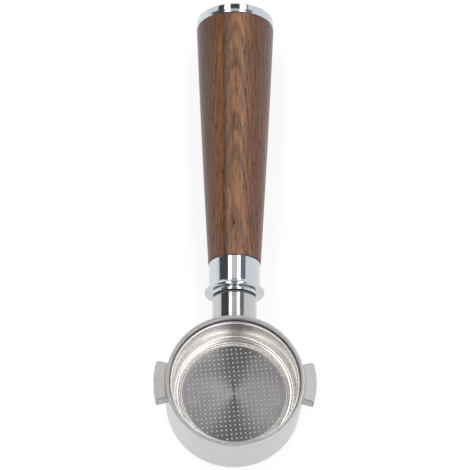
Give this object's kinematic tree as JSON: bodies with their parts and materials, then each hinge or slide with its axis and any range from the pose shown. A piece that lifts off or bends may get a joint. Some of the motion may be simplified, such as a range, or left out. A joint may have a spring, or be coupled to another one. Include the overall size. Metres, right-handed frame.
{
  "type": "portafilter",
  "caption": "Bottomless espresso filter holder: round steel ring with bayonet lugs, lift-out perforated basket and a tapered walnut handle on a chromed neck.",
  "frame": {"origin": "on the filter ring's axis, in the plane of its rim, where the group head's gasket meets it", "axes": "+Z along the ring's axis, up towards the group head; +Y along the handle, from the ring to the end cap; +X towards the right-hand lug"},
  "size_m": [0.069, 0.2117, 0.0356],
  "materials": {
    "ring_steel": "satin turned stainless steel",
    "lug_steel": "matt milled stainless steel",
    "basket_steel": "drawn and polished stainless steel",
    "spring_steel": "bright spring wire",
    "chrome": "mirror chrome plate",
    "stud_steel": "zinc-plated steel",
    "walnut": "lacquered walnut, semi-gloss",
    "brass": "machined brass",
    "fibre": "dark vulcanised fibre",
    "rubber": "black nitrile rubber"
  },
  "bodies": {
    "ring_body": {"filter_ring": "ring_steel", "lug_left": "lug_steel", "lug_right": "lug_steel", "basket_spring": "spring_steel", "neck_stem": "chrome", "neck_stud": "stud_steel"},
    "basket_body": {"filter_basket": "basket_steel"},
    "washer_body": {"face_washer": "fibre"},
    "handle_body": {"ferrule": "chrome", "thread_insert": "brass", "grip": "walnut", "spigot_seal_ring": "rubber", "cap_insert": "brass", "cap_stud": "stud_steel", "cap_seal_ring": "rubber", "end_cap": "chrome"}
  },
  "joints": [
    {"name": "basket_lift", "type": "slide", "parent": "ring_body", "child": "basket_body", "axis": [0, 0, 1], "range_m": [0, 0.045]},
    {"name": "handle_travel", "type": "slide", "parent": "ring_body", "child": "washer_body", "axis": [0, 1, 0], "range_m": [0, 0.0165]},
    {"name": "handle_unscrew", "type": "hinge", "parent": "washer_body", "child": "handle_body", "pos_m": [0, 0.0436, -0.0145], "axis": [0, 1, 0], "range_deg": [0, 3962]}
  ],
  "couplings": [
    {"joint": "handle_unscrew", "follows": "handle_travel", "rad_per_m": 4188.8}
  ]
}
